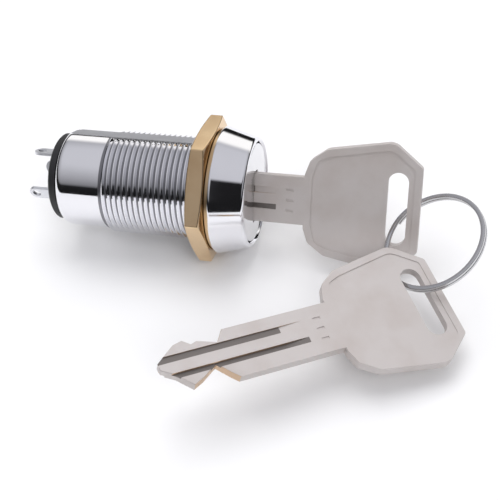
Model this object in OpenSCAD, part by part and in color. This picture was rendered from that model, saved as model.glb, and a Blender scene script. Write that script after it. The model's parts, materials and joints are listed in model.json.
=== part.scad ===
// Selector key switch: threaded barrel with a conical bezel, hex nut and washer,
// wafer lock, rotary contact block with three solder lugs, two keys and a split ring.
// The origin is the centre of the bezel's back face, which seats on the panel.
// +X runs along the barrel towards the key, +Z is up from the surface it lies on.

/* [Barrel] */
// Outside diameter of the mounting thread
thread_d = 19; // [18.8:0.1:19.2]
// Distance between thread crests
thread_pitch = 1; // [0.9:0.05:1]
// Depth of the thread
thread_depth = 0.55; // [0.4:0.05:0.6]
// Length of the barrel behind the bezel
barrel_len = 29.6; // [29.6:0.1:30.2]
// Height of the milled flat above the barrel's axis
flat_h = 8.6; // [8.5:0.05:8.9]

/* [Bezel] */
// Diameter of the bezel at its back
bezel_back_d = 23.3; // [22.4:0.1:24]
// Diameter of the bezel at its front
bezel_front_d = 20.2; // [20:0.1:21]
// Length of the bezel
bezel_len = 6.1; // [6.1:0.1:6.6]

/* [Nut and washer] */
// Width of the nut across its flats
nut_af = 23.2; // [22:0.1:24]
// Thickness of the nut
nut_t = 3.2; // [2.5:0.1:3.6]
// Outside diameter of the washer
washer_d = 22; // [21:0.1:23]
// Thickness of the washer
washer_t = 0.6; // [0.4:0.05:0.65]

/* [Lock] */
// Diameter of the plug
plug_d = 13.6; // [13.4:0.1:13.6]
// Distance that a wafer springs out when the key is drawn
wafer_lift = 0.5; // [0.3:0.05:0.5]

/* [Key] */
// Thickness of a key
key_t = 1.8; // [1.6:0.05:1.8]
// Width of a key's blade
blade_w = 8.8; // [8.4:0.1:8.8]
// Length of a key's blade from the bow to the tip
blade_len = 28.9; // [28:0.1:28.9]
// Greatest width of the bow
bow_w = 23.6; // [22:0.1:24]
// Length of the bow
bow_len = 22.1; // [21.6:0.1:23]

/* [Split ring] */
// Outside diameter of the split ring
ring_d = 18.7; // [18.6:0.05:18.8]
// Radial thickness of its wire
ring_wire = 0.8; // [0.7:0.05:0.8]
// Width of its two coils side by side
ring_w = 1.2; // [1:0.05:1.2]

/* [Terminals] */
// Width of a solder lug
lug_w = 2.8; // [2.4:0.1:2.8]
// Thickness of a solder lug
lug_t = 0.6; // [0.4:0.05:0.6]
// Distance that the lugs stand out behind the barrel
lug_out = 7; // [5:0.1:7]

/* [Hidden] */

smooth = 96;
// The lock lies rolled over by this angle, so that the loose key can lie below it
lean = 26.5;
gap = 0.1;

// Barrel, radii and places along X
thread_r = thread_d / 2;
root_r = thread_r - thread_depth;
thread_turns = 20;
relief = 0.9;
thread_back = -relief - thread_turns * thread_pitch;
rear_round = 1.5;
lip_r = 7.05;
lip_t = 1;
chamber_r = 7.7;
plug_r = plug_d / 2;
bore_r = plug_r + gap;
pocket_r = 9.15;
pocket_floor = 2.6;
shoulder_x = -16.8;
rim_round = 0.6;

// Lock
head_r = 8.4;
head_x = 5.4;
cap_r = 8.9;
cap_x = 5.95;
boss_r = 4.6;
clip_r = 3.95;
clip_x = -17.5;
clip_t = 0.5;
pin_r = 0.6;
pin_ring = 7.6;
pin_angle = 270;
pin_slack = 6;
turn = 90;

// Wafers
wafer_count = 5;
wafer_t = 1.2;
wafer_w = 6.4;
wafer_r = plug_r - 0.15;
wafer_first = -1.6;
wafer_step = 2.6;
wing_y = 3.95;
wing_w = 1.25;
wing_low = 0.6;
wing_high = 1.4;
nest_z = 2.3;

// Keys, in their own plane: u runs from the blade to the bow, v across it
key_x = 14.36;
key_drop = -0.7;
slot_u = 17.1;
slot_w = 3.6;
slot_len = 13.2;
corner_u = 16;
panel_inset = 1.3;
panel_sink = 0.18;
key_2_place = [24.02, -26.79, -3.9];
key_2_turn = [14.7, 8.21, 35.78];

// Split ring
ring_centre = [38.51, -6.48, -1.91];
ring_tilt = 30.1;
ring_swivel = 211.9;

// Contact block
rotor_r = 7.3;
rotor_front = -18.4;
rotor_back = -23.3;
tang_end = -20.1;
contact_angle = 95;
contact_ring = 4.3;
contact_back = -23.1;
contact_front = -22.6;
detent_x = -20.6;
detent_angle = 180;
detent_r = 1;
detent_ring = 6.5;
spring_ring = 2.15;
spring_seat = -20.9;
base_front = -24.2;
strip_front = -25.2;
head_t = 0.5;
common_angle = 220;
base_back = -barrel_len - 1.4;

function arc(cx, cy, r, from, to, steps) =
    [for (i = [0 : steps]) let (a = from + (to - from) * i / steps) [cx + r * cos(a), cy + r * sin(a)]];

// Zigzag profile of rings between two radii, as thread crests or the coils of a spring
function ripple(low, high, start, count, pitch) =
    [for (i = [0 : count - 1]) each [
        [low, start + i * pitch],
        [high, start + (i + 0.34) * pitch],
        [high, start + (i + 0.5) * pitch],
        [low, start + (i + 0.84) * pitch]
    ]];

function unit(v) = v / norm(v);

// Rounds every corner of an outline with its own radius
function rounded(points, radii, steps) =
    [for (i = [0 : len(points) - 1])
        let (
            p = points[i],
            a = unit(points[(i + len(points) - 1) % len(points)] - p),
            b = unit(points[(i + 1) % len(points)] - p),
            half = acos(a * b) / 2,
            reach = radii[i] / tan(half),
            centre = p + unit(a + b) * radii[i] / sin(half),
            from = p + a * reach - centre,
            to = p + b * reach - centre,
            start = atan2(from.y, from.x),
            sweep = atan2(from.x * to.y - from.y * to.x, from * to)
        )
        each radii[i] == 0 ? [p] : arc(centre.x, centre.y, radii[i], start, start + sweep, steps)
    ];

module turned(points) {
    rotate([0, 90, 0]) rotate_extrude($fn = smooth) polygon(points);
}

module lean_over() {
    rotate([-lean, 0, 0]) children();
}

// Turns a piece that is drawn along +Y round the barrel's axis
module at_angle(a) {
    rotate([a, 0, 0]) children();
}

// A rod along X
module rod_x(from, to, r) {
    translate([from, 0, 0]) rotate([0, 90, 0]) cylinder(h = to - from, r = r, $fn = 48);
}

// Extrudes an outline drawn in y and z along X
module plate_x(from, to) {
    translate([from, 0, 0]) rotate([90, 0, 90]) linear_extrude(to - from) children();
}

// A closely wound compression spring along +Z
module coil_spring(length, outer_r, wire) {
    coils = floor(length / wire);
    pitch = length / coils;
    outside = ripple(outer_r - wire * 0.3, outer_r, 0, coils, pitch);
    inside = ripple(outer_r - wire * 0.7, outer_r - wire, 0, coils, pitch);
    back = [for (i = [len(inside) - 1 : -1 : 0]) inside[i]];
    rotate_extrude($fn = 32) polygon(concat(outside, back));
}

// Housing: barrel and bezel in one casting

module housing() {
    front_r = bezel_front_d / 2;
    profile = concat(
        [[lip_r, -barrel_len]],
        arc(root_r - rear_round, rear_round - barrel_len, rear_round, -90, 0, 8),
        ripple(root_r, thread_r, thread_back, thread_turns, thread_pitch),
        [[root_r, 0], [bezel_back_d / 2 - 0.3, 0], [bezel_back_d / 2, 0.3]],
        arc(front_r - rim_round, bezel_len - rim_round, rim_round, 0, 90, 8),
        [
            [pocket_r, bezel_len], [pocket_r, pocket_floor],
            [bore_r, pocket_floor], [bore_r, shoulder_x],
            [chamber_r, shoulder_x], [chamber_r, lip_t - barrel_len],
            [lip_r, lip_t - barrel_len]
        ]
    );
    groove_len = wafer_step * 4 + wafer_t + 1;
    groove_back = wafer_first - wafer_step * 4 - wafer_t / 2 - 0.5;
    color("gainsboro") lean_over() difference() {
        turned(profile);
        translate([-barrel_len - 1, -thread_r, flat_h])
            cube([barrel_len + 1 - relief, thread_d, thread_r]);
        translate([groove_back, -wafer_w / 2 - gap, -plug_r - wafer_lift - gap])
            cube([groove_len, wafer_w + 2 * gap, 2 * (plug_r + wafer_lift + gap)]);
        for (a = [detent_angle, detent_angle - turn])
            at_angle(a) translate([detent_x, detent_ring + 0.45, 0]) sphere(r = detent_r + 0.15, $fn = 48);
        at_angle(pin_angle) translate([0, pin_ring, 0]) rod_x(pocket_floor - 1.6, pocket_floor + 1, pin_r);
    }
}

module lock_washer() {
    front = -gap;
    color("goldenrod") lean_over() turned([
        [thread_r + gap, front - washer_t], [washer_d / 2, front - washer_t],
        [washer_d / 2, front], [thread_r + gap, front]
    ]);
}

module hex_nut() {
    front = -gap - washer_t - gap;
    back = front - nut_t;
    corner_r = nut_af / 2 / cos(30);
    face_r = nut_af / 2 - 0.3;
    bevel = (corner_r + 0.1 - face_r) * tan(12);
    hex_turn = 16.5;
    color("goldenrod") lean_over() difference() {
        intersection() {
            at_angle(hex_turn) translate([back, 0, 0]) rotate([0, 90, 0]) rotate([0, 0, 90])
                cylinder(h = nut_t, r = corner_r, $fn = 6);
            turned([
                [0, back], [face_r, back], [corner_r + 0.1, back + bevel],
                [corner_r + 0.1, front - bevel], [face_r, front], [0, front]
            ]);
        }
        turned([
            [0, back - 1], [thread_r + 0.5, back - 1], [thread_r + 0.5, back], [thread_r + gap, back + 0.4],
            [thread_r + gap, front - 0.4], [thread_r + 0.5, front], [thread_r + 0.5, front + 1], [0, front + 1]
        ]);
    }
}

module stop_pin() {
    color("silver") lean_over() at_angle(pin_angle) translate([0, pin_ring, 0])
        rod_x(pocket_floor - 1.6, pocket_floor + 1, pin_r);
}

// Lock: the plug turns in the housing and carries the wafers

function wafer_x(i) = wafer_first - i * wafer_step;
// Wafers spring out upwards and downwards in turn
function wafer_way(i) = i % 2 == 0 ? 1 : -1;

module keyway(from, to, clearance) {
    half = blade_w / 2 + clearance;
    translate([from, -key_t / 2 - clearance, key_drop - half])
        cube([to - from, key_t + 2 * clearance, 2 * half]);
}

module plug() {
    slot_t = wafer_t + gap;
    color("darkkhaki") lean_over() difference() {
        union() {
            turned([
                [0, -18.2], [boss_r, -18.2], [boss_r, clip_x - 0.05], [clip_r, clip_x - 0.05],
                [clip_r, clip_x + clip_t + 0.05], [boss_r, clip_x + clip_t + 0.05],
                [boss_r, shoulder_x + 0.2], [plug_r, shoulder_x + 0.2],
                [plug_r, pocket_floor + 0.15], [head_r, pocket_floor + 0.15],
                [head_r, head_x], [0, head_x]
            ]);
            translate([tang_end, -1.2, -2.5]) cube([2.2, 2.4, 5]);
        }
        keyway(-15.3, head_x + 1, 0.15);
        for (i = [0 : wafer_count - 1]) translate([wafer_x(i) - slot_t / 2, 0, 0]) {
            translate([0, -wafer_w / 2 - gap, -plug_r - 1]) cube([slot_t, wafer_w + 2 * gap, 2 * plug_r + 2]);
            translate([0, 0, -nest_z]) cube([slot_t, wing_y + wing_w / 2, 2 * nest_z]);
        }
        rotate([0, 90, 0]) rotate([0, 0, pin_angle + 90 - pin_slack])
            rotate_extrude(angle = turn + 2 * pin_slack, $fn = smooth)
            translate([pin_ring - pin_r - 0.1, pocket_floor]) square([2, 1.3]);
    }
}

module face_cap() {
    inner_r = head_r + 0.05;
    skirt_x = 3.4;
    edge = 0.3;
    color("lightgray") lean_over() difference() {
        turned(concat(
            [[inner_r, skirt_x], [cap_r, skirt_x]],
            arc(cap_r - edge, cap_x - edge, edge, 0, 90, 4),
            [[0, cap_x], [0, head_x + 0.05], [inner_r, head_x + 0.05]]
        ));
        keyway(head_x - 1, cap_x + 1, 0.3);
    }
}

module retaining_clip() {
    color("silver") lean_over() difference() {
        turned([[clip_r, clip_x], [7.4, clip_x], [7.4, clip_x + clip_t], [clip_r, clip_x + clip_t]]);
        translate([clip_x - 1, 0, -clip_r + 0.5]) cube([3, 9, 2 * clip_r - 1]);
    }
}

module wafer(i) {
    way = wafer_way(i);
    low = key_drop - blade_w / 2 - gap - (way > 0 ? wafer_lift : 0);
    high = key_drop + blade_w / 2 + gap + (way > 0 ? 0 : wafer_lift);
    window = key_t / 2 + 0.3;
    color("peru") lean_over() plate_x(wafer_x(i) - wafer_t / 2, wafer_x(i) + wafer_t / 2) {
        difference() {
            intersection() {
                circle(r = wafer_r, $fn = smooth);
                translate([-wafer_w / 2, -wafer_r]) square([wafer_w, 2 * wafer_r]);
            }
            translate([-window, low]) square([2 * window, high - low]);
        }
        translate([wafer_w / 2, way > 0 ? wing_low : -wing_high])
            square([wing_y + wing_w / 2 - 0.1 - wafer_w / 2, wing_high - wing_low]);
    }
}

module wafer_springs() {
    color("silver") lean_over() for (i = [0 : wafer_count - 1])
        translate([wafer_x(i), wing_y, 0]) rotate([wafer_way(i) > 0 ? 0 : 180, 0, 0])
        translate([0, 0, -nest_z]) coil_spring(nest_z + wing_low, 0.5, 0.24);
}

// Contact block: the plug's tang turns the rotor, which wipes the moving contact
// from terminal A's contact to terminal B's; the common contact is in the middle

module contact_rotor() {
    color("ivory") lean_over() difference() {
        turned([[0, rotor_back], [rotor_r, rotor_back], [rotor_r, rotor_front], [0, rotor_front]]);
        translate([tang_end - 0.2, -1.3, -2.6]) cube([3, 2.6, 5.2]);
        at_angle(contact_angle) {
            translate([rotor_back - 1, -1.8, -1.25]) cube([1 + contact_front - rotor_back, 7.4, 2.5]);
            translate([0, spring_ring, 0]) rod_x(contact_front - 0.5, spring_seat, 1.4);
        }
        at_angle(detent_angle) translate([detent_x, 3, 0]) rotate([-90, 0, 0])
            cylinder(h = 6, r = detent_r + 0.12, $fn = 48);
    }
}

module moving_contact() {
    color("peru") lean_over() at_angle(contact_angle) {
        translate([contact_back, -1.7, -1.2]) cube([contact_front - contact_back, 7.2, 2.4]);
        for (r = [0, contact_ring]) intersection() {
            translate([contact_front, r, 0]) sphere(r = 1, $fn = 48);
            translate([contact_back - 1, r - 1.1, -1.1]) cube([1.2, 2.2, 2.2]);
        }
    }
}

module contact_spring() {
    color("silver") lean_over() at_angle(contact_angle)
        translate([contact_front, spring_ring, 0]) rotate([0, 90, 0])
        coil_spring(spring_seat - contact_front, 1.3, 0.34);
}

module detent_ball() {
    color("lightgray") lean_over() at_angle(detent_angle)
        translate([detent_x, detent_ring, 0]) sphere(r = detent_r, $fn = 48);
}

module detent_spring() {
    color("silver") lean_over() at_angle(detent_angle)
        translate([detent_x, 3, 0]) rotate([-90, 0, 0])
        coil_spring(detent_ring - detent_r - 3, 0.95, 0.25);
}

// Terminal end

module strip_space(clearance) {
    translate([base_back - 2, contact_ring - lug_t / 2 - clearance, -lug_w / 2 - clearance])
        cube([strip_front - base_back + 2, lug_t + 2 * clearance, lug_w + 2 * clearance]);
}

module common_strap(clearance) {
    translate([strip_front - lug_t - clearance, -1.2, -1.2 - clearance])
        cube([lug_t + 2 * clearance, contact_ring + 1.2, 2.4 + 2 * clearance]);
}

module terminal_base() {
    edge = 0.3;
    nub_r = 1.6;
    flange_r = 8;
    color([0.08, 0.08, 0.09]) lean_over() difference() {
        turned([
            [0, base_back - 1], [nub_r, base_back - 1], [nub_r, base_back], [flange_r - edge, base_back],
            [flange_r, base_back + edge], [flange_r, -barrel_len - 0.02], [lip_r - 0.05, -barrel_len - 0.02],
            [lip_r - 0.05, lip_t - barrel_len + 0.02],
            [chamber_r - 0.03, lip_t - barrel_len + 0.02], [chamber_r - 0.03, base_front], [0, base_front]
        ]);
        for (a = [contact_angle, contact_angle - turn, common_angle]) at_angle(a) strip_space(0);
        at_angle(common_angle) common_strap(0);
        for (a = [contact_angle, contact_angle - turn]) at_angle(a)
            translate([0, contact_ring, 0]) rod_x(strip_front, base_front + 1, 0.7);
        rod_x(strip_front, base_front + 1, 0.7);
    }
}

module contact_rivet() {
    rod_x(strip_front, base_front, 0.7);
    rod_x(base_front, base_front + head_t, 1.2);
}

module fixed_contacts() {
    color("silver") lean_over() {
        contact_rivet();
        for (a = [contact_angle, contact_angle - turn]) at_angle(a)
            translate([0, contact_ring, 0]) contact_rivet();
    }
}

module lug() {
    tip = -barrel_len - lug_out;
    round_r = lug_w / 2;
    translate([0, contact_ring + lug_t / 2, 0]) rotate([90, 0, 0]) linear_extrude(lug_t) difference() {
        union() {
            translate([tip + round_r, -round_r]) square([strip_front - tip - round_r, lug_w]);
            translate([tip + round_r, 0]) circle(r = round_r, $fn = 48);
        }
        translate([tip + round_r, 0]) circle(r = 0.75, $fn = 32);
    }
}

module common_terminal() {
    color("lightsteelblue") lean_over() at_angle(common_angle) {
        lug();
        common_strap(0);
    }
}

module terminal_a() {
    color("lightsteelblue") lean_over() at_angle(contact_angle) lug();
}

module terminal_b() {
    color("lightsteelblue") lean_over() at_angle(contact_angle - turn) lug();
}

// Keys: drawn in their own plane, u along X and v along Z

function bow_points(inset) = let (
    half = blade_w / 2, wide = bow_w / 2, e = inset
) [
    [0.6 + e, half + 0.6 - e * 0.6], [1.5 + e, wide - 4.2], [4.5 + e * 0.5, wide - 2 - e],
    [corner_u - e * 0.2, wide - e], [bow_len - 0.9 - e, wide - 4.2 - e * 0.3],
    [bow_len - 0.9 - e, 4.2 - wide + e * 0.3], [corner_u - e * 0.2, e - wide],
    [4.5 + e * 0.5, 2 - wide + e], [1.5 + e, 4.2 - wide], [0.6 + e, -half - 0.6 + e * 0.6]
];

function bow_outline(inset) =
    rounded(bow_points(inset), [0.5, 1.5, 2.5, 2.5, 0.8, 0.8, 2.5, 2.5, 1.5, 0.5], 6);

// Both edges of the blade are cut near its tip
function blade_points() = let (half = blade_w / 2, tip = -blade_len) [
    [0.8, -half], [-17.4, -half], [-18.4, -half + 1], [-20.3, -1.2], [-22.9, -2.9], [-24.6, -3.7],
    [-26.8, -1.3], [tip, 0.1], [tip, 1.4], [-25.7, 3.8], [-24.1, 4.2],
    [-22.9, 3.2], [-21.9, 3.5], [-18.8, 2.4], [-17.4, half], [0.8, half]
];

module key_sheet(t) {
    rotate([90, 0, 0]) translate([0, 0, -t / 2]) linear_extrude(t) children();
}

module bow_slot() {
    reach = (slot_len - slot_w) / 2;
    translate([slot_u - slot_w / 2, -reach]) square([slot_w, 2 * reach]);
    for (s = [-1, 1]) translate([slot_u, s * reach]) circle(r = slot_w / 2, $fn = 48);
}

// A milled groove that runs out to nothing before the shoulder
module key_groove(side, v, width, depth) {
    end = -4.4;
    run_out = 4;
    translate([0, side * key_t / 2, v - width / 2]) linear_extrude(width) polygon([
        [-blade_len - 1, side], [-blade_len - 1, -side * depth], [end - run_out, -side * depth],
        [end, 0], [end, side]
    ]);
}

module key() {
    difference() {
        union() {
            key_sheet(key_t) polygon(bow_outline(0));
            key_sheet(key_t) polygon(blade_points());
        }
        key_sheet(key_t + 2) bow_slot();
        for (s = [-1, 1]) {
            translate([0, s * key_t / 2, 0]) key_sheet(2 * panel_sink) polygon(bow_outline(panel_inset));
            for (m = [-1 : 1]) translate([-1.9, s * key_t / 2, m * 1.9])
                cube([1.3, 0.3, 0.45], center = true);
        }
        key_groove(-1, 1.6, 1.2, 0.25);
        key_groove(-1, -1.4, 1, 0.5);
        key_groove(1, 0.2, 1, 0.5);
    }
}

module key_1() {
    color("silver") lean_over() translate([key_x, 0, key_drop]) key();
}

module key_2() {
    color("silver") translate(key_2_place) rotate(key_2_turn) rotate([-90, 0, 0]) key();
}

module split_ring() {
    outer = ring_d / 2;
    inner = outer - ring_wire;
    half = ring_w / 2;
    seam = 0.12;
    color("darkgray") translate(ring_centre) rotate([0, ring_tilt, ring_swivel])
        rotate_extrude($fn = smooth) polygon([
            [inner, -half], [outer, -half], [outer, -seam], [outer - seam, 0], [outer, seam],
            [outer, half], [inner, half], [inner, seam], [inner + seam, 0], [inner, -seam]
        ]);
}

housing();
lock_washer();
hex_nut();
stop_pin();
plug();
face_cap();
retaining_clip();
wafer(0);  // wafer_1
wafer(1);  // wafer_2
wafer(2);  // wafer_3
wafer(3);  // wafer_4
wafer(4);  // wafer_5
wafer_springs();
contact_rotor();
moving_contact();
contact_spring();
detent_ball();
detent_spring();
terminal_base();
fixed_contacts();
common_terminal();
terminal_a();
terminal_b();
key_1();
key_2();
split_ring();
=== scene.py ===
"""Selector key switch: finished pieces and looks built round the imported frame."""
import json
import math

import bmesh
import bpy
from bpy.props import FloatProperty, FloatVectorProperty, IntProperty, PointerProperty
from mathutils import Matrix, Vector


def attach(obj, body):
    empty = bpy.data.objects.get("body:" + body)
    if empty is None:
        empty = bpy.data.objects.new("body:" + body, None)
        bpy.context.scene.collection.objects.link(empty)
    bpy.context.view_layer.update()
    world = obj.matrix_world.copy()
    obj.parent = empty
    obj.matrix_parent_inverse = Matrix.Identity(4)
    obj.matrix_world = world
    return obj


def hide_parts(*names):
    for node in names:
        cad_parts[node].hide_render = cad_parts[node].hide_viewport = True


bl_info = {
    "name": "Selector Key Switch",
    "version": (1, 0, 0),
    "blender": (4, 5, 0),
    "location": "View3D > Sidebar > Key Switch",
    "description": "Builds a selector key switch with its keys and split ring",
    "category": "Object",
}

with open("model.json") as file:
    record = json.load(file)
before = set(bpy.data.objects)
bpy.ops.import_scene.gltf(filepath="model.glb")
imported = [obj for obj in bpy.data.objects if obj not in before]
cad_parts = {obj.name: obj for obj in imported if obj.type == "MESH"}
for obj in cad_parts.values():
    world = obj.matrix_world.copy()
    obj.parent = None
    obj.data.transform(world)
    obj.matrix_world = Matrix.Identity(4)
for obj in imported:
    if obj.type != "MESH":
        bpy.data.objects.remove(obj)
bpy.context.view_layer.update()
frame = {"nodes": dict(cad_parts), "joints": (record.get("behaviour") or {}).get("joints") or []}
MM = 0.001
# The lock lies rolled over by this much round the barrel's axis
LEAN = Matrix.Rotation(math.radians(-26.5), 4, "X")
# Edges that turn by more than this, in degrees, stay sharp
SHARP = 38
WAFERS = 5


# ---------------------------------------------------------------- settings
def colour(name, what, default):
    return FloatVectorProperty(
        name=name, description=what, default=default, size=3, min=0, max=1, subtype="COLOR"
    )


def length(name, what, default):
    return FloatProperty(name=name, description=what, default=default, min=0, unit="LENGTH")


class SwitchColours(bpy.types.PropertyGroup):
    chrome: colour("Chrome", "Colour of the plated barrel and bezel", (0.86, 0.86, 0.89))
    key_nickel: colour("Key nickel", "Colour of the blasted nickel on the keys", (0.6, 0.56, 0.545))
    key_brass: colour("Key brass", "Colour where the brass under the nickel shows", (0.66, 0.48, 0.33))
    nut_brass: colour("Nut", "Colour of the hex nut", (0.8, 0.59, 0.36))
    lock_brass: colour("Lock brass", "Colour of the plug and the wafers", (0.78, 0.62, 0.36))
    ring_steel: colour("Ring steel", "Colour of the split ring", (0.55, 0.55, 0.57))
    tin: colour("Tin", "Colour of the tinned lugs", (0.74, 0.75, 0.78))
    base_black: colour("Base", "Colour of the moulded terminal base", (0.012, 0.012, 0.014))
    rotor_ivory: colour("Rotor", "Colour of the contact rotor", (0.82, 0.78, 0.68))
    washer_brass: colour("Washer", "Colour of the washer", (0.6, 0.43, 0.25))
    floor_white: colour("Floor", "Colour of the floor", (0.93, 0.93, 0.935))


class SwitchSizes(bpy.types.PropertyGroup):
    thread_radius: length("Thread radius", "Radius of the thread's crests", 9.5 * MM)
    root_radius: length("Root radius", "Radius of the thread's roots", 8.95 * MM)
    pitch: length("Pitch", "Distance between thread crests", 1.0 * MM)
    key_bevel: length("Key bevel", "Width of the worn edge round the keys", 0.13 * MM)
    soft_bevel: length("Part bevel", "Width of the broken edges on the other parts", 0.08 * MM)
    around: IntProperty(name="Steps around", description="Faces round the barrel", default=144, min=24)


# ---------------------------------------------------------------- materials
def add_node(tree, kind, place=(0, 0), **values):
    node = tree.nodes.new(kind)
    node.location = place
    for key, value in values.items():
        setattr(node, key, value)
    return node


def finish_material(name, base, metallic, roughness, grain=0.0, grain_size=1.0, tint=None, tint_amount=0.5,
                    smudge=0.0):
    """Metal or plastic with a fine grain in its relief, smudges in its gloss and a tint in patches."""
    patch_scale, smudge_scale, grain_scale, grain_height = 170, 260, 5200, 0.05 * MM
    material = bpy.data.materials.new(name)
    material.use_nodes = True
    tree = material.node_tree
    shader = tree.nodes["Principled BSDF"]
    shader.inputs["Metallic"].default_value = metallic
    shader.inputs["Roughness"].default_value = roughness
    shader.inputs["Base Color"].default_value = (*base, 1)
    place = add_node(tree, "ShaderNodeTexCoord", (-900, 0))

    def noise(scale, detail, at):
        node = add_node(tree, "ShaderNodeTexNoise", at)
        node.inputs["Scale"].default_value = scale
        node.inputs["Detail"].default_value = detail
        tree.links.new(place.outputs["Object"], node.inputs["Vector"])
        return node

    patches = noise(patch_scale, 4, (-700, 300))
    mix = add_node(tree, "ShaderNodeMix", (-300, 300), data_type="RGBA")
    ramp = add_node(tree, "ShaderNodeMapRange", (-500, 300))
    ramp.inputs["From Min"].default_value = 0.42
    ramp.inputs["From Max"].default_value = 0.68
    ramp.inputs["To Max"].default_value = tint_amount
    tree.links.new(patches.outputs["Fac"], ramp.inputs["Value"])
    tree.links.new(ramp.outputs["Result"], mix.inputs["Factor"])
    mix.inputs["A"].default_value = (*base, 1)
    mix.inputs["B"].default_value = (*(tint or [c * 0.93 for c in base]), 1)
    tree.links.new(mix.outputs["Result"], shader.inputs["Base Color"])
    if smudge:
        gloss = add_node(tree, "ShaderNodeMapRange", (-300, 0))
        gloss.inputs["To Min"].default_value = max(roughness - smudge, 0.02)
        gloss.inputs["To Max"].default_value = roughness + smudge
        tree.links.new(noise(smudge_scale, 6, (-500, 0)).outputs["Fac"], gloss.inputs["Value"])
        tree.links.new(gloss.outputs["Result"], shader.inputs["Roughness"])
    if grain:
        bump = add_node(tree, "ShaderNodeBump", (-300, -300))
        bump.inputs["Strength"].default_value = grain
        bump.inputs["Distance"].default_value = grain_height
        tree.links.new(noise(grain_scale * grain_size, 3, (-500, -300)).outputs["Fac"], bump.inputs["Height"])
        tree.links.new(bump.outputs["Normal"], shader.inputs["Normal"])
    return material


def material(name):
    """The named finish, made on first use."""
    if name in bpy.data.materials:
        return bpy.data.materials[name]
    c = bpy.context.scene.switch_colours
    steel = (0.6, 0.6, 0.62)
    table = {
        "bright_chrome": dict(base=c.chrome, metallic=1, roughness=0.07, smudge=0.03, tint_amount=0.3),
        "milled_flat": dict(base=(0.25, 0.25, 0.27), metallic=1, roughness=0.3, smudge=0.05, grain=0.1),
        # Painted shade: a dark colour for the thread's roots, where shade falls between the crests
        "painted_thread_root_shade": dict(base=(0.26, 0.26, 0.28), metallic=1, roughness=0.35),
        "polished_cap": dict(base=(0.8, 0.8, 0.83), metallic=1, roughness=0.16, smudge=0.05, grain=0.05),
        "blasted_nickel": dict(base=c.key_nickel, metallic=0.25, roughness=0.46, grain=0.32, smudge=0.08,
                               tint=(0.53, 0.475, 0.45), tint_amount=0.6),
        "worn_brass_edge": dict(base=c.key_brass, metallic=0.85, roughness=0.36, grain=0.15, smudge=0.06),
        # Painted shade: a dark colour for the floors of the keys' deep grooves, where shade falls
        "painted_groove_shade": dict(base=(0.2, 0.18, 0.17), metallic=0.4, roughness=0.5, grain=0.2),
        "dull_nut": dict(base=c.nut_brass, metallic=1, roughness=0.17, grain=0.06, smudge=0.06,
                         tint=(0.62, 0.41, 0.22), tint_amount=0.5),
        "turned_brass": dict(base=c.lock_brass, metallic=1, roughness=0.3, grain=0.08, smudge=0.05),
        "ring_steel": dict(base=c.ring_steel, metallic=1, roughness=0.24, smudge=0.06, grain=0.05),
        "spring_steel": dict(base=steel, metallic=1, roughness=0.28, smudge=0.05),
        "bright_tin": dict(base=c.tin, metallic=0.9, roughness=0.34, smudge=0.1, grain=0.12, grain_size=0.3),
        "moulded_black": dict(base=c.base_black, metallic=0, roughness=0.5, grain=0.1,
                              tint=(0.02, 0.02, 0.022)),
        "moulded_ivory": dict(base=c.rotor_ivory, metallic=0, roughness=0.45, grain=0.05),
        "dull_washer": dict(base=c.washer_brass, metallic=1, roughness=0.3, grain=0.1, smudge=0.08),
    }
    return finish_material(name, **table[name])


# ---------------------------------------------------------------- pieces
def settle(obj, body, slot, *nodes):
    """The finished piece stands for its CAD nodes and rides on their body."""
    if nodes:
        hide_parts(*nodes)
    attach(obj, body)
    return obj


def new_object(name, mesh, finish):
    obj = bpy.data.objects.new(name, mesh)
    bpy.context.collection.objects.link(obj)
    mesh.materials.clear()
    mesh.materials.append(material(finish))
    return obj


def soften(obj, bevel, angle=SHARP):
    """Breaks the sharp edges and shades the rest smooth."""
    mesh = obj.data
    mesh.shade_smooth()
    mesh.set_sharp_from_angle(angle=math.radians(angle))
    if bevel:
        modifier = obj.modifiers.new("broken edges", "BEVEL")
        modifier.width = bevel
        modifier.segments = 2
        modifier.limit_method = "ANGLE"
        modifier.angle_limit = math.radians(angle)
        modifier.harden_normals = True
        modifier.use_clamp_overlap = True
        modifier.miter_outer = "MITER_ARC"
    return obj


def mark_outline(work):
    """Marks the edges of a sheet part's full-height walls, and no groove or stamped mark, for the bevel.

    Gives the direction across the sheet.
    """
    level = 0.005 * MM
    weight = work.edges.layers.float.new("bevel_weight_edge")
    across = max(work.faces, key=lambda face: face.calc_area()).normal.copy()
    heights = [vert.co.dot(across) for vert in work.verts]
    low, high = min(heights), max(heights)
    for face in work.faces:
        reach = [vert.co.dot(across) for vert in face.verts]
        if abs(face.normal.dot(across)) > 0.1 or max(reach) - min(reach) < 0.9 * (high - low):
            continue
        for edge in face.edges:
            levels = [vert.co.dot(across) for vert in edge.verts]
            if max(levels) < low + level or min(levels) > high - level:
                edge[weight] = 1
    return across


def finished_copy(node, piece, finish, bevel, angle=SHARP, sheet=False):
    """A CAD node's own shape with its triangles joined into faces and its edges broken."""
    mesh = frame["nodes"][node].data.copy()
    mesh.name = piece
    if mesh.has_custom_normals:
        mesh.normals_split_custom_set([(0, 0, 0)] * len(mesh.loops))
    work = bmesh.new()
    work.from_mesh(mesh)
    bmesh.ops.remove_doubles(work, verts=work.verts, dist=0.003 * MM)
    bmesh.ops.dissolve_limit(
        work, angle_limit=math.radians(0.6), use_dissolve_boundaries=False, verts=work.verts, edges=work.edges
    )
    across = mark_outline(work) if sheet else None
    work.to_mesh(mesh)
    obj = soften(new_object(piece, mesh, finish), bevel, angle)
    if sheet:
        obj.modifiers["broken edges"].limit_method = "WEIGHT"
        for face in work.faces:
            face.smooth = True
        shade_flats(work, across)
        work.to_mesh(mesh)
    work.free()
    return obj


def dress(node, finish):
    """A CAD node that keeps its shape and gets a finish."""
    obj = frame["nodes"][node]
    obj.data.materials.clear()
    obj.data.materials.append(material(finish))


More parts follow.
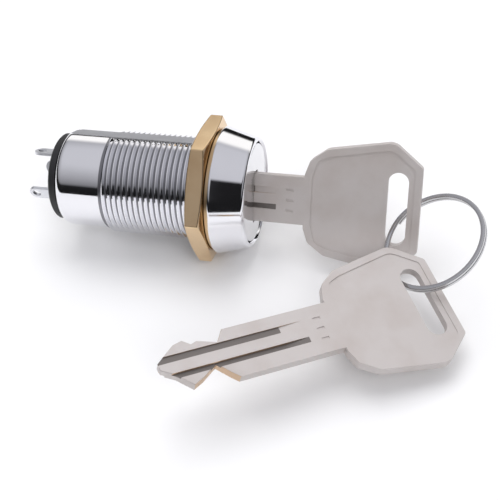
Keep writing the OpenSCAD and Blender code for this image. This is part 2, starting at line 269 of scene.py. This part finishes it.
# ---------------------------------------------------------------- barrel
def quarter_round(centre_x, centre_r, radius, angles):
    """Points of a rounded corner, with each angle in degrees from the barrel's axis."""
    turned = [math.radians(angle) for angle in angles]
    return [(centre_x + radius * math.cos(a), centre_r + radius * math.sin(a)) for a in turned]


def barrel_outline(root):
    """The barrel's section in millimetres as (x, radius): bore and bezel in one list, plain tail in another."""
    bore, chamber, pocket, lip = 6.9, 7.7, 9.1, 7.05
    back, shoulder, rear_round = -29.6, -16.8, 1.5
    detent_x, wafer_room = -20.6, 7.45
    inner = [(back, lip), (back + 1, lip), (back + 1, chamber)]
    inner += [(detent_x - 1, chamber), (detent_x - 0.6, chamber + 0.35), (detent_x, chamber + 0.45)]
    inner += [(detent_x + 0.6, chamber + 0.35), (detent_x + 1, chamber), (shoulder, chamber), (shoulder, bore)]
    inner += [(-13.1, bore), (-13.1, wafer_room), (-0.5, wafer_room), (-0.5, bore)]
    inner += [(2.6, bore), (2.6, pocket), (5.7, pocket), (6.0, pocket + 0.2)]
    rim = [(6.1, 9.4)] + quarter_round(5.4, 9.4, 0.7, range(10, 90, 10))
    bezel = [(5.25, 10.12), (0.45, 11.6), (0.2, 11.62), (0.05, 11.55), (0.0, 11.4), (0.0, 9.2), (-0.1, root)]
    corner = quarter_round(back + rear_round, root - rear_round, rear_round, range(96, 181, 12))
    return inner + rim + bezel, [(back + rear_round + 0.2, root)] + corner


def build_barrel(context):
    """The barrel is one closed skin: plain rings, and between them a thread that climbs one pitch a turn."""
    sizes = context.scene.switch_sizes
    crest, root, pitch = sizes.thread_radius / MM, sizes.root_radius / MM, sizes.pitch / MM
    steps = sizes.around
    thread_back, thread_front, flat = -20.9, -0.9, 8.6
    corners, run_in, run_out = (0, 0.3, 0.46, 0.76), 1.0, 0.35
    seam, relief, weld = 0.02, -0.05, 1e-7
    turns = round((thread_front - thread_back) / pitch)
    front_part, tail = barrel_outline(root)
    rows = [[(x, r)] * steps for x, r in front_part + [(thread_front + seam, root)]]
    first = len(rows)

    def thread_row(index):
        """One line of the thread, a quarter of its profile on from the last; its ends sink into the root."""
        row = []
        turn, corner = divmod(index, len(corners))
        for j in range(steps):
            x = thread_back + pitch * (turn + corners[corner] + j / steps)
            r = crest if corner in (1, 2) else root
            rise = min((x - thread_back) / (run_in * pitch), (thread_front - x) / (run_out * pitch))
            fade = min(1, max(0, rise))
            row.append((min(max(x, thread_back), thread_front), root + (r - root) * fade))
        return row

    rows += [thread_row(i) for i in range(4 * turns + 3, -5, -1)]
    last = len(rows) - 1
    rows += [[(x, r)] * steps for x, r in [(thread_back - seam, root)] + tail]
    verts, faces = [], []
    for row in rows:
        for j, (x, r) in enumerate(row):
            a = 2 * math.pi * j / steps
            up = math.sin(a)
            if x < relief and up > 0:
                r = min(r, flat / up)
            verts.append((x * MM, r * math.cos(a) * MM, r * math.sin(a) * MM))
    for i in range(len(rows)):
        after = (i + 1) % len(rows)
        for j in range(steps):
            k = (j + 1) % steps
            # Past the last step the thread goes on as the row one pitch further along
            if k == 0 and first <= i <= last and first <= after <= last:
                if i - 4 >= first:
                    faces.append((i * steps + j, (i - 4) * steps, (after - 4) * steps, after * steps + j))
            else:
                faces.append((i * steps + j, i * steps + k, after * steps + k, after * steps + j))
    mesh = bpy.data.meshes.new("barrel_and_bezel")
    mesh.from_pydata(verts, [], faces)
    work = bmesh.new()
    work.from_mesh(mesh)
    bmesh.ops.remove_doubles(work, verts=work.verts, dist=weld)
    bmesh.ops.dissolve_degenerate(work, edges=work.edges, dist=weld)
    bmesh.ops.recalc_face_normals(work, faces=work.faces)
    bmesh.ops.transform(work, matrix=LEAN, verts=work.verts)
    work.to_mesh(mesh)
    work.free()
    obj = soften(new_object("barrel_and_bezel", mesh, "bright_chrome"), 0, 32)
    mesh.materials.append(material("milled_flat"))
    level = LEAN.to_3x3() @ Vector((0, 0, 1))
    mesh.materials.append(material("painted_thread_root_shade"))
    for face in mesh.polygons:
        if face.normal.dot(level) > 0.9995 and face.center.dot(level) > (flat - 0.01) * MM:
            face.material_index = 1
        # Faces down at the thread's roots take the dark painted shade
        elif (thread_back * MM < face.center.x < thread_front * MM
              and face.center.yz.length < (root + 0.12) * MM):
            face.material_index = 2
    settle(obj, "housing", "chrome_zinc", "housing")
    dress("stop_pin", "spring_steel")


def build_nut(context):
    """The nut's chamfers are shallow, so its edges count as sharp from a small angle."""
    bevel = context.scene.switch_sizes.soft_bevel
    nut = finished_copy("hex_nut", "nut_hexagon", "dull_nut", 2.5 * bevel, 20)
    settle(nut, "nut", "brass_nut", "hex_nut")
    washer = finished_copy("lock_washer", "washer", "dull_washer", bevel)
    settle(washer, "nut_washer", "washer_brass", "lock_washer")


def build_lock(context):
    """The lock's face, with the plug and its clip behind it."""
    bevel = context.scene.switch_sizes.soft_bevel
    face = finished_copy("face_cap", "lock_face", "polished_cap", bevel)
    settle(face, "plug", "polished_cap", "face_cap")
    dress("plug", "turned_brass")
    dress("retaining_clip", "spring_steel")


def build_wafers(context):
    """The wafers, each on its own body."""
    for i in range(1, WAFERS + 1):
        name = "wafer_%d" % i
        obj = finished_copy(name, "brass_" + name, "turned_brass", 0.04 * MM)
        settle(obj, name, "wafer_brass", name)


def build_contacts(context):
    """The contact block's rotor and contacts keep their shapes and get their finishes."""
    dress("contact_rotor", "moulded_ivory")
    dress("moving_contact", "turned_brass")
    dress("detent_ball", "spring_steel")
    dress("fixed_contacts", "turned_brass")


def build_terminals(context):
    """The solder lugs and the moulded base that holds them."""
    bevel = context.scene.switch_sizes.soft_bevel
    for node in ("common_terminal", "terminal_a", "terminal_b"):
        settle(finished_copy(node, node + "_lug", "bright_tin", bevel), "housing", "tinned_lug", node)
    obj = finished_copy("terminal_base", "moulded_base", "moulded_black", 1.5 * bevel)
    settle(obj, "housing", "black_plastic", "terminal_base")


def shade_flats(work, across):
    """Keeps the sheet's faces and groove floors flat and lets only its rounded walls shade smooth."""
    for edge in work.edges:
        level = any(abs(face.normal.dot(across)) > 0.5 for face in edge.link_faces)
        edge.smooth = not level and edge.calc_face_angle(0) < math.radians(SHARP)


def finish_blade(mesh):
    """The cuts behind the tip show the brass under the plating, and the floors of the deep grooves get a dark
    colour, which is painted shade.
    """
    mesh.materials.append(material("worn_brass_edge"))
    across = max(mesh.polygons, key=lambda face: face.area).normal.copy()
    centre = sum((vert.co for vert in mesh.vertices), Vector()) / len(mesh.vertices)
    tip = max((vert.co for vert in mesh.vertices), key=lambda co: (co - centre).length)
    mesh.materials.append(material("painted_groove_shade"))
    middle = centre.dot(across)
    outer = max(abs(vert.co.dot(across) - middle) for vert in mesh.vertices)
    brass_from, brass_to, blade_end, deep = 7 * MM, 13 * MM, 24 * MM, 0.2 * MM
    for face in mesh.polygons:
        turned, along = abs(face.normal.dot(across)), (face.center - tip).length
        if turned < 0.1 and brass_from < along < brass_to:
            face.material_index = 1
        # Floors sunk deeper than this into the blade take the dark painted shade
        elif turned > 0.9 and along < blade_end and outer - abs(face.center.dot(across) - middle) > deep:
            face.material_index = 2


def build_keys(context):
    """Both keys, cut from the same blank."""
    bevel = context.scene.switch_sizes.key_bevel
    for node in ("key_1", "key_2"):
        obj = finished_copy(node, node + "_blank", "blasted_nickel", bevel, sheet=True)
        finish_blade(obj.data)
        settle(obj, node, "nickel_key", node)


# ---------------------------------------------------------------- wound wire
def wire_tree():
    """Winds a wire of rounded section along Z, with an optional step half way along it."""
    name, step_share = "wound_wire", 0.09
    if name in bpy.data.node_groups:
        return bpy.data.node_groups[name]
    tree = bpy.data.node_groups.new(name, "GeometryNodeTree")
    face = tree.interface
    face.new_socket("Geometry", in_out="OUTPUT", socket_type="NodeSocketGeometry")
    for label, start in (("Turns", 2.0), ("Radius", 0.009), ("Length", 0.0), ("Wire Depth", 0.0008),
                         ("Wire Width", 0.0006), ("Rounding", 0.0001), ("Step", 0.0)):
        socket = face.new_socket(label, in_out="INPUT", socket_type="NodeSocketFloat")
        socket.default_value = start
    face.new_socket("Finish", in_out="INPUT", socket_type="NodeSocketMaterial")
    steps = face.new_socket("Steps", in_out="INPUT", socket_type="NodeSocketInt")
    steps.default_value = 96
    link = tree.links.new
    entry = add_node(tree, "NodeGroupInput", (-900, 0))
    leave = add_node(tree, "NodeGroupOutput", (1300, 0))
    spiral = add_node(tree, "GeometryNodeCurveSpiral", (-600, 0))
    for source, target in (("Steps", "Resolution"), ("Turns", "Rotations"), ("Radius", "Start Radius"),
                           ("Radius", "End Radius"), ("Length", "Height")):
        link(entry.outputs[source], spiral.inputs[target])
    along = add_node(tree, "GeometryNodeSplineParameter", (-600, -350))
    ease = add_node(tree, "ShaderNodeMapRange", (-400, -350), interpolation_type="SMOOTHSTEP")
    ease.inputs["From Min"].default_value = 0.5 - step_share / 2
    ease.inputs["From Max"].default_value = 0.5 + step_share / 2
    ease.inputs["To Min"].default_value = -0.5
    ease.inputs["To Max"].default_value = 0.5
    link(along.outputs["Factor"], ease.inputs["Value"])
    rise = add_node(tree, "ShaderNodeMath", (-200, -350), operation="MULTIPLY")
    link(ease.outputs["Result"], rise.inputs[0])
    link(entry.outputs["Step"], rise.inputs[1])
    offset = add_node(tree, "ShaderNodeCombineXYZ", (0, -350))
    link(rise.outputs["Value"], offset.inputs["Z"])
    move = add_node(tree, "GeometryNodeSetPosition", (200, 0))
    link(spiral.outputs["Curve"], move.inputs["Geometry"])
    link(offset.outputs["Vector"], move.inputs["Offset"])
    upright = add_node(tree, "GeometryNodeSetCurveNormal", (350, 0), mode="Z_UP")
    link(move.outputs["Geometry"], upright.inputs["Curve"])
    section = add_node(tree, "GeometryNodeCurvePrimitiveQuadrilateral", (200, -500))
    link(entry.outputs["Wire Depth"], section.inputs["Width"])
    link(entry.outputs["Wire Width"], section.inputs["Height"])
    rounded = add_node(tree, "GeometryNodeFilletCurve", (400, -500), mode="POLY")
    rounded.inputs["Count"].default_value = 3
    link(section.outputs["Curve"], rounded.inputs["Curve"])
    link(entry.outputs["Rounding"], rounded.inputs["Radius"])
    sweep = add_node(tree, "GeometryNodeCurveToMesh", (650, 0))
    sweep.inputs["Fill Caps"].default_value = True
    link(upright.outputs["Curve"], sweep.inputs["Curve"])
    link(rounded.outputs["Curve"], sweep.inputs["Profile Curve"])
    whole = add_node(tree, "GeometryNodeRealizeInstances", (850, 0))
    paint = add_node(tree, "GeometryNodeSetMaterial", (1050, 0))
    link(sweep.outputs["Mesh"], whole.inputs["Geometry"])
    link(whole.outputs["Geometry"], paint.inputs["Geometry"])
    link(entry.outputs["Finish"], paint.inputs["Material"])
    link(paint.outputs["Geometry"], leave.inputs["Geometry"])
    return tree


def wind(name, finish, places, **settings):
    """Runs the winding tree and puts a copy of the result at each place, as one plain mesh."""
    tree = wire_tree()
    holder = bpy.data.objects.new(name, bpy.data.meshes.new(name))
    bpy.context.collection.objects.link(holder)
    modifier = holder.modifiers.new("winding", "NODES")
    modifier.node_group = tree
    values = {key.replace("_", " ").title(): value for key, value in settings.items()}
    values["Finish"] = material(finish)
    for item in tree.interface.items_tree:
        if item.in_out == "INPUT" and item.name in values:
            modifier[item.identifier] = values[item.name]
    holder.update_tag()
    graph = bpy.context.evaluated_depsgraph_get()
    plain = bpy.data.meshes.new_from_object(holder.evaluated_get(graph))
    holder.modifiers.remove(modifier)
    work = bmesh.new()
    for place in places:
        first = len(work.verts)
        work.from_mesh(plain)
        work.verts.ensure_lookup_table()
        bmesh.ops.transform(work, matrix=place, verts=work.verts[first:])
    bmesh.ops.recalc_face_normals(work, faces=work.faces)
    mesh = bpy.data.meshes.new(name)
    work.to_mesh(mesh)
    work.free()
    holder.data = mesh
    mesh.materials.clear()
    mesh.materials.append(material(finish))
    mesh.shade_smooth()
    mesh.set_sharp_from_angle(angle=math.radians(40))
    return holder


def slot_place(angle, x, radius, tilt):
    """A place in the lock: round the axis by an angle, out by a radius, with its Z turned by tilt."""
    out = Matrix.Translation((x * MM, radius * MM, 0))
    return LEAN @ Matrix.Rotation(math.radians(angle), 4, "X") @ out @ tilt


def wire_section(across, rounding, steps):
    """The settings of a spring's round wire."""
    return dict(wire_depth=across * MM, wire_width=across * MM, rounding=rounding * MM, steps=steps)


def build_springs(context):
    """The wafers' springs lie beside them, and the contact and the detent have one spring each."""
    first, step, beside, below = -1.6, 2.6, 3.95, 2.16
    places = []
    for i in range(WAFERS):
        flip = Matrix.Rotation(math.radians(180 * (i % 2)), 4, "X")
        start = Matrix.Translation(((first - step * i) * MM, beside * MM, 0))
        places.append(LEAN @ start @ flip @ Matrix.Translation((0, 0, -below * MM)))
    coil = wind("wafer_spring_coils", "spring_steel", places, turns=7.0, radius=0.38 * MM, length=2.6 * MM,
                **wire_section(0.22, 0.1, 20))
    settle(coil, "plug", "steel", "wafer_springs")
    along, outwards = Matrix.Rotation(math.radians(90), 4, "Y"), Matrix.Rotation(math.radians(-90), 4, "X")
    coil = wind("contact_spring_coil", "spring_steel", [slot_place(95, -22.42, 2.15, along)],
                turns=3.0, radius=1.13 * MM, length=1.35 * MM, **wire_section(0.32, 0.15, 28))
    settle(coil, "plug", "steel", "contact_spring")
    coil = wind("detent_spring_coil", "spring_steel", [slot_place(180, -20.6, 3.14, outwards)],
                turns=6.0, radius=0.82 * MM, length=2.2 * MM, **wire_section(0.24, 0.11, 28))
    settle(coil, "plug", "steel", "detent_spring")


def ring_basis():
    """Centre, half width and outer radius of the ring, and the turn that lays Z along its axis."""
    verts = [v.co for v in frame["nodes"]["split_ring"].data.vertices]
    centre = sum(verts, Vector()) / len(verts)
    joint = next(j for j in frame["joints"] if j["name"] == "key_2_swing")
    axis = Vector(joint["axis"]).normalized()
    half = max(abs((v - centre).dot(axis)) for v in verts)
    radius = max(((v - centre) - axis * (v - centre).dot(axis)).length for v in verts)
    return centre, half, radius, axis.to_track_quat("Z", "Y").to_matrix().to_4x4()


def build_ring(context):
    """Two flat coils, one on the other, joined by a short step."""
    centre, half, radius, turn = ring_basis()
    depth, width, ends_at = 0.8 * MM, half * 0.98, 200
    place = Matrix.Translation(centre) @ turn @ Matrix.Rotation(math.radians(ends_at), 4, "Z")
    ring = wind("split_ring_coils", "ring_steel", [place], turns=1.9, radius=radius - depth / 2, length=0.0,
                wire_depth=depth, wire_width=width, rounding=0.14 * MM, step=half * 1.02, steps=120)
    settle(ring, "ring", "ring_steel", "split_ring")


# ---------------------------------------------------------------- stage
def area_light(name, place, target, size, power):
    """A square softbox that lights the pieces and isn't mirrored in them."""
    data = bpy.data.lights.new(name, "AREA")
    data.shape = "SQUARE"
    data.size = size
    data.energy = power
    obj = bpy.data.objects.new(name, data)
    obj.location = place
    obj.rotation_euler = (Vector(target) - Vector(place)).to_track_quat("-Z", "Y").to_euler()
    obj.visible_glossy = False
    bpy.context.collection.objects.link(obj)


def build_sky(context):
    """A studio room: dark at eye level, grey above, with an unlit gap in front and a lit wall behind."""
    unlit, lit_wall, backdrop = (0.012, 0.012, 0.013, 1), (1.15, 1.13, 1.1, 1), (0.97, 0.97, 0.97, 1)
    world = bpy.data.worlds.new("studio")
    context.scene.world = world
    world.use_nodes = True
    tree = world.node_tree
    link = tree.links.new
    background = tree.nodes["Background"]
    sky = add_node(tree, "ShaderNodeTexCoord", (-1200, 0))
    split = add_node(tree, "ShaderNodeSeparateXYZ", (-1000, 0))
    ramp = add_node(tree, "ShaderNodeValToRGB", (-700, 200))
    link(sky.outputs["Generated"], split.inputs["Vector"])
    link(split.outputs["Z"], ramp.inputs["Fac"])
    # Brightness by height: level with the switch at 0, straight above it at 1
    stops = ((0.0, 0.01), (0.27, 0.015), (0.36, 0.24), (0.56, 0.4), (0.7, 0.5), (0.86, 0.64), (1, 0.66))
    points = ramp.color_ramp.elements
    while len(points) < len(stops):
        points.new(0.5)
    for point, (at, tone) in zip(points, stops):
        point.position = at
        point.color = (tone * 0.97, tone * 0.97, tone * 1.03, 1)

    def window(source, edges):
        """One where a direction's X, Y or Z is past the second edge, and nought before the first."""
        node = add_node(tree, "ShaderNodeMapRange", (-700, -200), interpolation_type="SMOOTHSTEP")
        node.inputs["From Min"].default_value, node.inputs["From Max"].default_value = edges
        link(split.outputs[source], node.inputs["Value"])
        return node.outputs["Result"]

    def product(a, b):
        node = add_node(tree, "ShaderNodeMath", (-500, -200), operation="MULTIPLY")
        link(a, node.inputs[0])
        link(b, node.inputs[1])
        return node.outputs["Value"]

    across = product(window("X", (0.02, 0.12)), window("X", (0.62, 0.5)))
    gap = product(product(across, window("Z", (0.86, 0.8))), window("Y", (0.0, -0.1)))
    dark = add_node(tree, "ShaderNodeMix", (-300, 0), data_type="RGBA")
    link(gap, dark.inputs["Factor"])
    link(ramp.outputs["Color"], dark.inputs["A"])
    dark.inputs["B"].default_value = unlit
    wall = add_node(tree, "ShaderNodeMix", (-200, 200), data_type="RGBA")
    link(product(window("Y", (0.6, 0.75)), window("Z", (0.2, 0.34))), wall.inputs["Factor"])
    link(dark.outputs["Result"], wall.inputs["A"])
    wall.inputs["B"].default_value = lit_wall
    seen = add_node(tree, "ShaderNodeLightPath", (-500, 400))
    plain = add_node(tree, "ShaderNodeMix", (-100, 0), data_type="RGBA")
    link(seen.outputs["Is Camera Ray"], plain.inputs["Factor"])
    link(wall.outputs["Result"], plain.inputs["A"])
    plain.inputs["B"].default_value = backdrop
    link(plain.outputs["Result"], background.inputs["Color"])


def build_stage(context):
    """A white floor under the switch, the room round it and three softboxes."""
    low, span = -12.6 * MM, 0.6
    mesh = bpy.data.meshes.new("floor")
    mesh.from_pydata([(-span, -span, low), (span, -span, low), (span, span, low), (-span, span, low)], [],
                     [(0, 1, 2, 3)])
    floor = bpy.data.objects.new("floor", mesh)
    bpy.context.collection.objects.link(floor)
    white = bpy.data.materials.new("floor_white")
    white.use_nodes = True
    shader = white.node_tree.nodes["Principled BSDF"]
    shader.inputs["Base Color"].default_value = (*context.scene.switch_colours.floor_white, 1)
    shader.inputs["Roughness"].default_value = 0.9
    shader.inputs["Specular IOR Level"].default_value = 0.1
    mesh.materials.append(white)
    build_sky(context)
    area_light("overhead_softbox", place=(-0.1, 0.25, 0.9), target=(0.01, 0, 0), size=0.8, power=4.6)
    area_light("front_softbox", place=(0.5, -0.75, 0.8), target=(0.01, -0.005, 0), size=0.6, power=5.0)
    area_light("left_softbox", place=(-0.8, -0.2, 0.5), target=(0.01, 0, 0), size=0.4, power=1.1)
    context.scene.view_settings.view_transform = "Standard"


def build_camera(context):
    """The camera looks down on the switch from the front, rolled a little to the right."""
    data = bpy.data.cameras.new("camera")
    data.lens = 72
    data.sensor_width = 36
    data.clip_start = 0.01
    data.clip_end = 20
    obj = bpy.data.objects.new("camera", data)
    right = Vector((0.9719, 0.2218, -0.0791)).normalized()
    ahead = Vector((-0.2139, 0.6914, -0.6900)).normalized()
    up = right.cross(ahead).normalized()
    right = ahead.cross(up)
    turn = Matrix((right, up, -ahead)).transposed().to_4x4()
    place = Vector((44.65, -132.35, 117.29)) * MM
    obj.matrix_world = Matrix.Translation(place) @ turn
    context.collection.objects.link(obj)
    context.scene.camera = obj


# ---------------------------------------------------------------- operators
class SWITCH_OT_barrel(bpy.types.Operator):
    """Builds the threaded barrel with its bezel."""

    bl_idname = "switch.barrel"
    bl_label = "Barrel"

    def execute(self, context):
        build_barrel(context)
        return {"FINISHED"}


class SWITCH_OT_nut(bpy.types.Operator):
    """Builds the hex nut and its washer."""

    bl_idname = "switch.nut"
    bl_label = "Nut and washer"

    def execute(self, context):
        build_nut(context)
        return {"FINISHED"}


class SWITCH_OT_lock(bpy.types.Operator):
    """Builds the lock's face and finishes the plug."""

    bl_idname = "switch.lock"
    bl_label = "Lock face"

    def execute(self, context):
        build_lock(context)
        return {"FINISHED"}


class SWITCH_OT_wafers(bpy.types.Operator):
    """Builds the wafers."""

    bl_idname = "switch.wafers"
    bl_label = "Wafers"

    def execute(self, context):
        build_wafers(context)
        return {"FINISHED"}


class SWITCH_OT_contacts(bpy.types.Operator):
    """Finishes the rotor and the contacts."""

    bl_idname = "switch.contacts"
    bl_label = "Contacts"

    def execute(self, context):
        build_contacts(context)
        return {"FINISHED"}


class SWITCH_OT_terminals(bpy.types.Operator):
    """Builds the base and its solder lugs."""

    bl_idname = "switch.terminals"
    bl_label = "Terminals"

    def execute(self, context):
        build_terminals(context)
        return {"FINISHED"}


class SWITCH_OT_keys(bpy.types.Operator):
    """Builds both keys."""

    bl_idname = "switch.keys"
    bl_label = "Keys"

    def execute(self, context):
        build_keys(context)
        return {"FINISHED"}


class SWITCH_OT_springs(bpy.types.Operator):
    """Winds the springs."""

    bl_idname = "switch.springs"
    bl_label = "Springs"

    def execute(self, context):
        build_springs(context)
        return {"FINISHED"}


class SWITCH_OT_ring(bpy.types.Operator):
    """Winds the split ring."""

    bl_idname = "switch.ring"
    bl_label = "Split ring"

    def execute(self, context):
        build_ring(context)
        return {"FINISHED"}


class SWITCH_OT_stage(bpy.types.Operator):
    """Lays the floor and sets the lights."""

    bl_idname = "switch.stage"
    bl_label = "Stage"

    def execute(self, context):
        build_stage(context)
        return {"FINISHED"}


class SWITCH_OT_camera(bpy.types.Operator):
    """Sets the camera."""

    bl_idname = "switch.camera"
    bl_label = "Camera"

    def execute(self, context):
        build_camera(context)
        return {"FINISHED"}


BUILDERS = (
    SWITCH_OT_barrel,
    SWITCH_OT_nut,
    SWITCH_OT_lock,
    SWITCH_OT_wafers,
    SWITCH_OT_contacts,
    SWITCH_OT_terminals,
    SWITCH_OT_keys,
    SWITCH_OT_springs,
    SWITCH_OT_ring,
    SWITCH_OT_stage,
    SWITCH_OT_camera,
)


class SWITCH_PT_panel(bpy.types.Panel):
    """Lists the switch's builders and settings."""

    bl_label = "Key Switch"
    bl_idname = "SWITCH_PT_panel"
    bl_space_type = "VIEW_3D"
    bl_region_type = "UI"
    bl_category = "Key Switch"

    def draw(self, context):
        for builder in BUILDERS:
            self.layout.operator(builder.bl_idname)
        for settings in (context.scene.switch_sizes, context.scene.switch_colours):
            for name in settings.__annotations__:
                self.layout.prop(settings, name)


CLASSES = (SwitchColours, SwitchSizes, *BUILDERS, SWITCH_PT_panel)


def register():
    for item in CLASSES:
        bpy.utils.register_class(item)
    bpy.types.Scene.switch_colours = PointerProperty(type=SwitchColours)
    bpy.types.Scene.switch_sizes = PointerProperty(type=SwitchSizes)


def unregister():
    del bpy.types.Scene.switch_sizes
    del bpy.types.Scene.switch_colours
    for item in reversed(CLASSES):
        bpy.utils.unregister_class(item)


def main():
    register()
    for builder in BUILDERS:
        group, name = builder.bl_idname.split(".")
        getattr(getattr(bpy.ops, group), name)()


if __name__ == "__main__":
    main()
